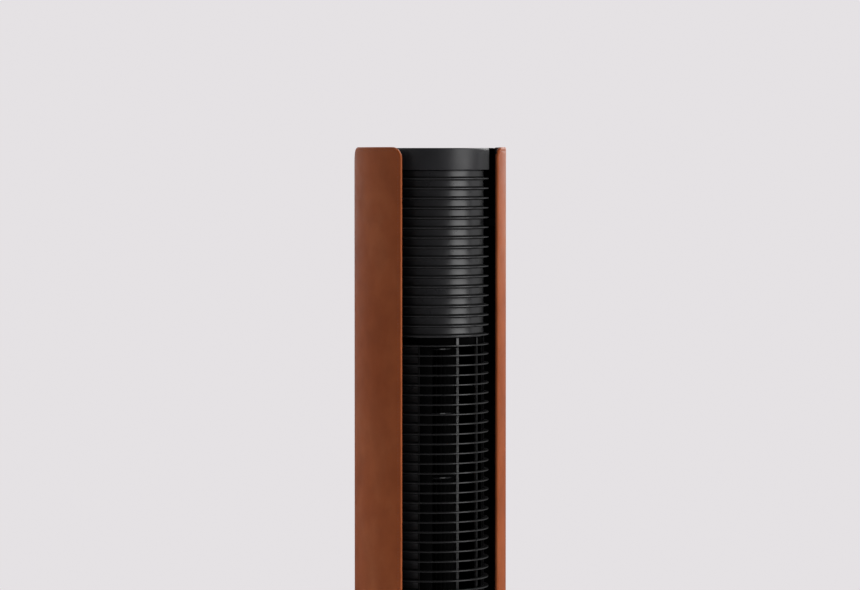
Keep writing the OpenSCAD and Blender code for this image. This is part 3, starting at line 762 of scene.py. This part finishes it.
# The leather's section at its edge as (inset, radius) steps, from the face over both folds to the hem.
CREASE_AT = 4.2
OUTER_FOLD = 1.6
INNER_FOLD = 1.0
HEM_INSET = 1.17
EDGE_STEPS = [
    (7.0, SHELL_R),
    (5.4, SHELL_R),
    (4.8, SHELL_R - 0.04),
    (CREASE_AT, SHELL_R - 0.14),
    (3.6, SHELL_R - 0.04),
    (2.9, SHELL_R),
    (2.3, SHELL_R),
]
for turn in range(0, 91, 15):
    out, up = OUTER_FOLD * math.sin(math.radians(turn)), OUTER_FOLD * math.cos(math.radians(turn))
    EDGE_STEPS.append((OUTER_FOLD - out, SHELL_R - OUTER_FOLD + up))
EDGE_STEPS.append((0.0, 87.4))
for turn in range(0, 91, 18):
    out, down = INNER_FOLD * math.cos(math.radians(turn)), INNER_FOLD * math.sin(math.radians(turn))
    EDGE_STEPS.append((INNER_FOLD - out, PANEL_IN + INNER_FOLD - down))
EDGE_STEPS.append((HEM_INSET, PANEL_IN))
EDGE_STEPS.append((HEM_INSET, PANEL_OUT + 0.03))


def leather_shape(side):
    """The leather on one shell: its face, the folded edge all the way round, and its back on the panel."""
    verts, faces = [], []
    rows, columns = 2 * CORNER_STEPS + ROWS + 1, COLUMNS + 1

    def add_face_grid(inset, radius):
        first = len(verts)
        grid = shell_grid(inset)
        for row in grid:
            verts.extend(on_shell(u, z, radius, side) for u, z in row)
        index = [[first + i * columns + j for j in range(columns)] for i in range(rows)]
        for i in range(rows - 1):
            for j in range(columns - 1):
                faces.append((index[i][j], index[i][j + 1], index[i + 1][j + 1], index[i + 1][j]))
        return rim_of(index)

    previous = add_face_grid(*EDGE_STEPS[0])
    last = add_face_grid(*EDGE_STEPS[-1])
    for inset, radius in EDGE_STEPS[1:-1]:
        rim = rim_of(shell_grid(inset))
        ring = list(range(len(verts), len(verts) + len(rim)))
        verts.extend(on_shell(u, z, radius, side) for u, z in rim)
        bridge(faces, previous, ring)
        previous = ring
    bridge(faces, previous, last)
    return verts, faces


def bridge(faces, a, b):
    """Add the faces between two rings of the same number of points."""
    n = len(a)
    faces.extend((a[i], a[(i + 1) % n], b[(i + 1) % n], b[i]) for i in range(n))


def along(rim, spacing):
    """(u, z, du, dz) at even spacing round a closed line of points."""
    closed = [Vector(p) for p in rim + rim[:1]]
    lengths = [(b - a).length for a, b in zip(closed, closed[1:])]
    count = round(sum(lengths) / spacing)
    step = sum(lengths) / count
    marks, walked, target = [], 0.0, 0.0
    for a, b, length in zip(closed, closed[1:], lengths):
        while length and target < walked + length - 1e-6 and len(marks) < count:
            direction = (b - a) / length
            point = a + direction * (target - walked)
            marks.append((point.x, point.y, direction.x, direction.y))
            target += step
        walked += length
    return marks


STITCH_SPACING = 3.8
STITCH_HALF_LENGTH = 1.35
STITCH_SLANT = 14
STITCH_THICKNESS = 0.28
STITCH_MIDDLE_R = 89.9


def stitch_shape(side):
    """Short slanted stitches lying in the crease."""
    chance = random.Random(7)
    around, rings = 6, 5
    parts = []
    for u, z, du, dz in along(rim_of(shell_grid(CREASE_AT)), STITCH_SPACING):
        length = STITCH_HALF_LENGTH + chance.uniform(-0.06, 0.06)
        slant = math.radians(STITCH_SLANT + chance.uniform(-3, 3))
        du, dz = du * math.cos(slant) - dz * math.sin(slant), du * math.sin(slant) + dz * math.cos(slant)
        verts, faces = [], []
        for i in range(rings + 1):
            t = -1 + 2 * i / rings
            thick = STITCH_THICKNESS * math.sqrt(max(0.06, 1 - abs(t) ** 3))
            for j in range(around):
                a = 2 * math.pi * j / around
                across, up = thick * math.cos(a), thick * 0.7 * math.sin(a)
                verts.append(on_shell(
                    u + du * t * length - dz * across,
                    z + dz * t * length + du * across,
                    STITCH_MIDDLE_R + up - 0.05 * t * t,
                    side,
                ))
        loops = [list(range(i * around, (i + 1) * around)) for i in range(rings + 1)]
        for loop, next_loop in zip(loops, loops[1:]):
            bridge(faces, loop, next_loop)
        faces += [tuple(loops[0]), tuple(reversed(loops[-1]))]
        parts.append((verts, faces))
    return joined(*parts)


for side, which in ((-1, "left"), (1, "right")):
    make(which + "_leather_wrap", leather_shape(side), "tower", "leather", [which + "_leather"], sharp=50)
    stitches = make(which + "_stitching", stitch_shape(side), "tower", "leather", sharp=60)
    stitches.data.materials[0] = THREAD

# ---- Filter door, its gauze and its latch ----

POST_TURN = 2.6
WINDOWS = 5
LATCH_MIDDLE_R = 66
LATCH_GAP_H = 18
LATCH_GAP_TURN = math.degrees(7.6 / LATCH_MIDDLE_R)


def door_band(z0, z1, round_below, round_above):
    """A ring section that fills the door's thickness between two heights."""
    outline = rounded([
        (DRUM_IN, z0, round_below), (DRUM_R, z0, round_below),
        (DRUM_R, z1, round_above), (DRUM_IN, z1, round_above),
    ])
    return revolved(outline, DOOR_FROM, DOOR_TO)


def door_frame():
    """Top and bottom bands and six upright posts, which leave five windows."""
    parts = [door_band(DOOR_Z0, DOOR_Z0 + 6.2, 0.3, 0.4), door_band(DOOR_Z1 - 3, DOOR_Z1, 0.4, 0.3)]
    step = (DOOR_TO - DOOR_FROM - POST_TURN) / WINDOWS
    for i in range(WINDOWS + 1):
        post = DOOR_FROM + i * step
        parts.append(upright(DRUM_IN, DRUM_R, post, post + POST_TURN, DOOR_Z0 + 1, DOOR_Z1 - 1))
    return parts


def door_fins():
    """The door's fins, which stop short of the latch on both sides."""
    parts = []
    start, end = DOOR_FROM + 0.3, DOOR_TO - 0.3
    for k in OPEN_FINS:
        beside_latch = abs(fin_z(k) - LATCH_Z) < LATCH_GAP_H + FIN_T / 2
        spans = [(start, end)]
        if beside_latch:
            spans = [(start, LATCH_AT - LATCH_GAP_TURN), (LATCH_AT + LATCH_GAP_TURN, end)]
        parts += [bare_fin(k, DRUM_IN + 1, *span) for span in spans]
    return parts


KNUCKLE_IN = 2.1
KNUCKLE_R = 3.5
KNUCKLE_CHAMFER = 0.2


def door_hinge():
    """The knuckle round the pin and the two webs that carry it."""
    knuckle = [
        (KNUCKLE_IN, DOOR_Z0), (KNUCKLE_R - KNUCKLE_CHAMFER, DOOR_Z0),
        (KNUCKLE_R, DOOR_Z0 + KNUCKLE_CHAMFER), (KNUCKLE_R, DOOR_Z1 - KNUCKLE_CHAMFER),
        (KNUCKLE_R - KNUCKLE_CHAMFER, DOOR_Z1), (KNUCKLE_IN, DOOR_Z1),
    ]
    return [
        revolved(knuckle, step=12, centre=spot(HINGE_R, HINGE_AT)[:2]),
        upright(64, 67, HINGE_AT + 2.2, DOOR_FROM + 0.9, DOOR_Z0 + 0.4, DOOR_Z1 - 0.4, 0.3),
        upright(62.4, 66, DOOR_FROM - 0.6, DOOR_FROM + 1.6, DOOR_Z0 + 0.7, DOOR_Z1 - 0.7, 0.3),
    ]


# The cartridge stands on a shelf with a lip along its inner edge.
SHELF_IN = 43.2
SHELF_OUT = 61.6
SHELF_Z0 = 239.0
SHELF_Z1 = 241.5
SHELF_LIP_Z1 = 246.0
SHELF_LIP_R = 44.0
SHELF_FROM = 127.8
SHELF_TO = 233
shelf = revolved([
    (SHELF_IN, SHELF_Z0), (SHELF_OUT, SHELF_Z0), (SHELF_OUT, SHELF_Z1),
    (SHELF_LIP_R, SHELF_Z1), (SHELF_LIP_R, SHELF_LIP_Z1), (SHELF_IN, SHELF_LIP_Z1),
], SHELF_FROM, SHELF_TO)

# A thin plate closes the latch's pocket on the inside.
SEAT_IN = DRUM_IN + 0.1
SEAT_OUT = DRUM_IN + 0.95
SEAT_HALF_H = 22
SEAT_FROM = 216.9
SEAT_TO = 239.2
latch_seat = revolved([
    (SEAT_IN, LATCH_Z - SEAT_HALF_H), (SEAT_OUT, LATCH_Z - SEAT_HALF_H),
    (SEAT_OUT, LATCH_Z + SEAT_HALF_H), (SEAT_IN, LATCH_Z + SEAT_HALF_H),
], SEAT_FROM, SEAT_TO)
make("filter_door_fins", joined(*door_frame(), *door_fins(), *door_hinge(), shelf, latch_seat),
     "filter_door", "column_black", ["filter_door"])

GAUZE_Z0 = 246.0
GAUZE_Z1 = 697.5
GAUZE_FROM = 122.0
GAUZE_TO = 238.0
GAUZE_R = DRUM_IN - 0.3
GAUZE_CELL = 2.0
GAUZE_WIRE = 0.2
GAUZE_EDGE_H = 2.4


def gauze_shape():
    """Gauze of crossing upright and level wires, with a flat band along its top and its bottom."""
    upright_count = round(math.radians(GAUZE_TO - GAUZE_FROM) * GAUZE_R / GAUZE_CELL)
    level_count = round((GAUZE_Z1 - GAUZE_Z0) / GAUZE_CELL)
    inner, outer = GAUZE_R - GAUZE_WIRE, GAUZE_R + GAUZE_WIRE
    parts = []
    for i in range(upright_count + 1):
        a = GAUZE_FROM + (GAUZE_TO - GAUZE_FROM) * i / upright_count
        half = math.degrees(GAUZE_WIRE / GAUZE_R)
        plan = [spot(inner, a), spot(GAUZE_R, a + half), spot(outer, a), spot(GAUZE_R, a - half)]
        parts.append(prism(plan, GAUZE_Z0, GAUZE_Z1))
    for i in range(level_count + 1):
        z = GAUZE_Z0 + (GAUZE_Z1 - GAUZE_Z0) * i / level_count
        outline = [(inner, z), (GAUZE_R, z - GAUZE_WIRE), (outer, z), (GAUZE_R, z + GAUZE_WIRE)]
        parts.append(revolved(outline, GAUZE_FROM, GAUZE_TO, 4))
    for low in (GAUZE_Z0, GAUZE_Z1 - GAUZE_EDGE_H):
        high = low + GAUZE_EDGE_H
        edge = [(GAUZE_R - 0.3, low), (GAUZE_R + 0.3, low), (GAUZE_R + 0.3, high), (GAUZE_R - 0.3, high)]
        parts.append(revolved(edge, GAUZE_FROM, GAUZE_TO, 4))
    return joined(*parts)


make("prefilter_gauze", gauze_shape(), "filter_door", "mesh", ["prefilter_mesh"], sharp=60)

LATCH_IN = 64.0
LATCH_HALF_W = 7
LATCH_HALF_H = 17
GRIP_PITCH = 3
GRIP_DEPTH = 0.8


def latch_shape():
    """A curved push plate, flush with the fins, with seven grip grooves across its face."""
    half_turn = math.degrees(LATCH_HALF_W / LATCH_MIDDLE_R)
    corners = [(LATCH_IN, LATCH_Z - LATCH_HALF_H, 0), (FIN_R, LATCH_Z - LATCH_HALF_H, 1.0)]
    for i in range(-3, 4):
        z = LATCH_Z + GRIP_PITCH * i
        corners += [(FIN_R, z - GRIP_DEPTH, 0.2)]
        corners += [(FIN_R - GRIP_DEPTH, z, 0.3)]
        corners += [(FIN_R, z + GRIP_DEPTH, 0.2)]
    corners += [(FIN_R, LATCH_Z + LATCH_HALF_H, 1.0), (LATCH_IN, LATCH_Z + LATCH_HALF_H, 0)]
    return revolved(rounded(corners, 3), LATCH_AT - half_turn, LATCH_AT + half_turn, 1.0)


make("door_latch_plate", latch_shape(), "door_latch", "button_grey", ["door_latch"], sharp=30)

# ---- Base ----

BASE_R = 140
BASE_IN = 137
BASE_Z0 = 3
BASE_Z1 = 28
BASE_CEILING_Z = 25
COLLAR_R = 66
COLLAR_IN = 62
COLLAR_Z1 = COLUMN_Z0 - 1
DECK_IN = 24
DECK_Z0 = 31
DECK_Z1 = 34
INLET_HALF_W = 11.1
INLET_BACK_Y = 117.9
INLET_Z0 = 9.9
INLET_Z1 = 18.1

base_outline = rounded([
    (BASE_R, BASE_Z0, 0.6),
    (BASE_R, BASE_Z1, 12),
    (COLLAR_R, BASE_Z1, 13),
    (COLLAR_R, COLLAR_Z1, 0.8),
    (COLLAR_IN, COLLAR_Z1, 0.5),
    (COLLAR_IN, DECK_Z1, 0),
    (DECK_IN, DECK_Z1, 0),
    (DECK_IN, DECK_Z0, 0),
    (70, DECK_Z0, 0),
    (82, 29, 0),
    (84, BASE_CEILING_Z, 4),
    (BASE_IN, BASE_CEILING_Z, 9),
    (BASE_IN, BASE_Z0, 0.4),
], 14)


def box(x0, x1, y0, y1, z0, z1):
    """A plain box."""
    verts = [(x, y, z) for z in (z0, z1) for x, y in ((x0, y0), (x1, y0), (x1, y1), (x0, y1))]
    return verts, [(3, 2, 1, 0), (4, 5, 6, 7), (0, 1, 5, 4), (1, 2, 6, 5), (2, 3, 7, 6), (3, 0, 4, 7)]


inlet_notch = box(-INLET_HALF_W, INLET_HALF_W, INLET_BACK_Y, BASE_R + 10, INLET_Z0, INLET_Z1)
make("base_cover_turned", revolved(base_outline, step=2.0), "base", "satin_black", ["base_cover"],
     cut=inlet_notch)

# ---- Top panel and buttons ----

PANEL_R = 59.8
PANEL_TOP = CAP_Z1 - 0.6
PANEL_HOLLOW_R = 16
BUTTON_HOLE_R = 7.3

# The panel has a shallow round hollow in its middle.
panel_outline = rounded([
    (0, CAP_Z1 - 3, 0),
    (PANEL_R, CAP_Z1 - 3, 0),
    (PANEL_R, PANEL_TOP, 0.3),
    (PANEL_HOLLOW_R + 0.4, PANEL_TOP, 0.2),
    (PANEL_HOLLOW_R - 0.4, PANEL_TOP - 0.8, 0.2),
    (0, PANEL_TOP - 0.8, 0),
])
hole_outline = [(0, CAP_Z1 - 5), (BUTTON_HOLE_R, CAP_Z1 - 5), (BUTTON_HOLE_R, CAP_Z1 + 2), (0, CAP_Z1 + 2)]
button_holes = joined(*[
    revolved(hole_outline, step=7.5, centre=spot(BUTTON_RING_R, at)[:2]) for at in BUTTON_ANGLES.values()
])
make("control_panel_disc", revolved(panel_outline, step=2.5), "tower", "panel_black", ["control_panel"],
     cut=button_holes)

BUTTON_R = 7.0
BUTTON_TOP = CAP_Z1
DISH_R = 5.8
DISH_DEPTH = 0.55
FLANGE_R = 8.2
FLANGE_Z0 = CAP_Z1 - 5.0
FLANGE_Z1 = CAP_Z1 - 3.6
STROKE_WIDTH = 0.5
ARC_STEPS = 28


def dish(r):
    """Height of a button's dished top at radius r from its middle."""
    return BUTTON_TOP - DISH_DEPTH * (1 - min(1.0, (r / DISH_R) ** 2))


def button_outline():
    """A button's dished face, its rounded rim, its side and the flange that holds it under the panel."""
    face = [(r / 2, dish(r / 2)) for r in range(13)]
    rim = [(BUTTON_R - 0.6, BUTTON_TOP), (BUTTON_R - 0.2, BUTTON_TOP - 0.15), (BUTTON_R, BUTTON_TOP - 0.5)]
    return face + rim + [(BUTTON_R, FLANGE_Z1), (FLANGE_R, FLANGE_Z1), (FLANGE_R, FLANGE_Z0), (0, FLANGE_Z0)]


def stroke(points, centre):
    """A thin raised line along points (x, y from a button's middle), lying on the dished top."""
    verts, faces = [], []
    last = len(points) - 1
    for i, (x, y) in enumerate(points):
        direction = Vector(points[min(i + 1, last)]) - Vector(points[max(i - 1, 0)])
        across = direction.orthogonal().normalized() * STROKE_WIDTH / 2
        for sign, lift in ((1, -0.2), (1, 0.1), (-1, 0.1), (-1, -0.2)):
            px, py = x + across.x * sign, y + across.y * sign
            verts.append((centre[0] + px, centre[1] + py, dish(math.hypot(px, py)) + lift))
    for i in range(last):
        bridge(faces, range(4 * i, 4 * i + 4), range(4 * i + 4, 4 * i + 8))
    faces += [(0, 1, 2, 3), (4 * last + 3, 4 * last + 2, 4 * last + 1, 4 * last)]
    return verts, faces


def arc(r, start, end):
    """Points on a circle round a button's middle, between two clockwise angles from the top."""
    turns = [math.radians(start + (end - start) * i / ARC_STEPS) for i in range(ARC_STEPS + 1)]
    return [(r * math.sin(turn), r * math.cos(turn)) for turn in turns]


def icon_strokes(kind):
    """Plain symbols: on and off, three air waves, a turn to both sides, and a clock."""
    if kind == "power_button":
        return [arc(2.6, 35, 325), [(0, 0.6), (0, 3.4)]]
    if kind == "speed_button":
        return [[(-2.8 + 0.35 * i, y + 0.45 * math.sin(i * 0.8)) for i in range(17)] for y in (-1.7, 0, 1.7)]
    if kind == "swing_button":
        left_head = [(-2.9, 0.3), (-2.6, 1.5), (-1.5, 1.2)]
        right_head = [(-x, y) for x, y in left_head]
        return [arc(3.0, -60, 60), left_head, right_head, [(0, -2.4), (0, -0.2)]]
    return [arc(2.8, 0, 346), [(0, 1.8), (0, 0), (1.3, -0.8)]]


for name, at in BUTTON_ANGLES.items():
    centre = spot(BUTTON_RING_R, at)[:2]
    make(name + "_cap", revolved(button_outline(), step=7.5, centre=centre), name, "button_grey", [name])
    icon = make(name + "_icon", joined(*[stroke(points, centre) for points in icon_strokes(name)]),
                name, "button_grey")
    icon.data.materials[0] = ICON_WHITE

# ---- Floor, light and backdrop ----

WALL_WHITE = (0.783, 0.758, 0.776)
FLOOR_R = 40000
FLOOR_SIDES = 96


def floor_material():
    """Pale matt floor that fades with distance from the object into the backdrop's own shade."""
    tree = Tree("floor", 0.75)
    tree.colour(tree.ramp(tree.noise(3, 4), [(0.3, (0.83, 0.815, 0.82)), (0.7, (0.87, 0.855, 0.86))]))
    distance = tree.nodes.new("ShaderNodeVectorMath")
    distance.operation = "LENGTH"
    tree.link(tree.place, distance.inputs[0])
    seen = tree.nodes.new("ShaderNodeLightPath").outputs["Is Camera Ray"]
    choice = tree.nodes.new("ShaderNodeMix")
    tree.link(seen, choice.inputs[0])
    # metres from the object over which the floor fades: for bounced light, and as it is seen
    for socket, near, far in ((2, 1.2, 3.2), (3, 0.5, 1.7)):
        fade = tree.nodes.new("ShaderNodeMapRange")
        fade.interpolation_type = "SMOOTHSTEP"
        fade.inputs["From Min"].default_value = near
        fade.inputs["From Max"].default_value = far
        tree.link(distance.outputs["Value"], fade.inputs["Value"])
        tree.link(fade.outputs["Result"], choice.inputs[socket])
    glow = tree.nodes.new("ShaderNodeEmission")
    glow.inputs["Color"].default_value = (*WALL_WHITE, 1)
    tree.link(seen, glow.inputs["Strength"])
    mix = tree.nodes.new("ShaderNodeMixShader")
    tree.link(choice.outputs[0], mix.inputs["Fac"])
    tree.link(tree.shader.outputs["BSDF"], mix.inputs[1])
    tree.link(glow.outputs["Emission"], mix.inputs[2])
    tree.link(mix.outputs["Shader"], tree.nodes["Material Output"].inputs["Surface"])
    return tree.material


floor = mesh_object("floor", (
    [(0, 0, 0)] + [spot(FLOOR_R, 360 * i / FLOOR_SIDES) for i in range(FLOOR_SIDES)],
    [(0, i + 1, (i + 1) % FLOOR_SIDES + 1) for i in range(FLOOR_SIDES)],
))
floor.data.materials.append(floor_material())


def softbox(name, angle, distance, width, height, middle_z, radiance):
    """A rectangular area light that faces the object. Its sizes and its place are in metres."""
    light = bpy.data.lights.new(name, "AREA")
    light.shape = "RECTANGLE"
    light.size = width
    light.size_y = height
    light.energy = radiance * math.pi * width * height
    lamp = bpy.data.objects.new(name, light)
    bpy.context.scene.collection.objects.link(lamp)
    x, y, _ = spot(distance, angle)
    lamp.location = (x, y, middle_z)
    # a lamp higher than the object's top is tilted down towards it
    target = Vector((0, 0, min(middle_z, 0.9)))
    lamp.rotation_euler = (target - lamp.location).to_track_quat("-Z", "Y").to_euler()
    lamp.visible_camera = False


softbox("key_softbox", angle=45, distance=2.4, width=1.55, height=2.0, middle_z=1.15, radiance=3.3)
softbox("rim_softbox", angle=118, distance=1.1, width=0.5, height=1.0, middle_z=1.42, radiance=3.6)
# Narrow strips of light in the gap between the column and the right shell, as (angle, radiance).
for strip_angle, strip_radiance in ((51, 0.5), (65, 0.42), (79, 0.16)):
    softbox("gap_strip_%d" % strip_angle, angle=strip_angle, distance=0.0845, width=0.0195, height=0.87,
            middle_z=0.5, radiance=strip_radiance)

# Light from the room by direction, as (angle from the front, brightness).
ROOM = [
    (-180, 1.00),
    (-150, 1.00),
    (-120, 1.00),
    (-95, 1.00),
    (-75, 1.10),
    (-61, 0.60),
    (-52, 0.10),
    (-46, 0.03),
    (20, 0.03),
    (60, 0.30),
    (80, 0.70),
    (115, 1.15),
    (150, 1.30),
    (180, 1.00),
]


def make_world():
    """Light from the room for the object, and the plain backdrop as the camera sees it."""
    world = bpy.data.worlds.new("room")
    bpy.context.scene.world = world
    world.use_nodes = True
    nodes, link = world.node_tree.nodes, world.node_tree.links.new
    direction = nodes.new("ShaderNodeTexCoord").outputs["Generated"]
    split = nodes.new("ShaderNodeSeparateXYZ")
    link(direction, split.inputs["Vector"])
    minus = nodes.new("ShaderNodeMath")
    minus.operation = "MULTIPLY"
    minus.inputs[1].default_value = -1
    link(split.outputs["Y"], minus.inputs[0])
    angle = nodes.new("ShaderNodeMath")
    angle.operation = "ARCTAN2"
    link(split.outputs["X"], angle.inputs[0])
    link(minus.outputs["Value"], angle.inputs[1])
    place = nodes.new("ShaderNodeMapRange")
    place.inputs["From Min"].default_value = -math.pi
    place.inputs["From Max"].default_value = math.pi
    link(angle.outputs["Value"], place.inputs["Value"])
    ramp = nodes.new("ShaderNodeValToRGB")
    elements = ramp.color_ramp.elements
    while len(elements) < len(ROOM):
        elements.new(0.5)
    for element, (at, level) in zip(elements, ROOM):
        element.position = (at + 180) / 360
        element.color = (level, level * 0.985, level * 0.99, 1)
    link(place.outputs["Result"], ramp.inputs["Fac"])
    room = nodes["Background"]
    link(ramp.outputs["Color"], room.inputs["Color"])
    steep = nodes.new("ShaderNodeMath")
    steep.operation = "ABSOLUTE"
    link(split.outputs["Z"], steep.inputs[0])
    # the room is dimmer overhead and underfoot than at eye level
    dimmer = nodes.new("ShaderNodeMapRange")
    for socket, value in (("From Min", 0.3), ("From Max", 0.75), ("To Min", 1), ("To Max", 0.35)):
        dimmer.inputs[socket].default_value = value
    link(steep.outputs["Value"], dimmer.inputs["Value"])
    link(dimmer.outputs["Result"], room.inputs["Strength"])
    seen = nodes.new("ShaderNodeBackground")
    seen.inputs["Color"].default_value = (*WALL_WHITE, 1)
    mix = nodes.new("ShaderNodeMixShader")
    link(nodes.new("ShaderNodeLightPath").outputs["Is Camera Ray"], mix.inputs["Fac"])
    link(room.outputs["Background"], mix.inputs[1])
    link(seen.outputs["Background"], mix.inputs[2])
    link(mix.outputs["Shader"], nodes["World Output"].inputs["Surface"])


make_world()
bpy.context.scene.view_settings.view_transform = "Standard"
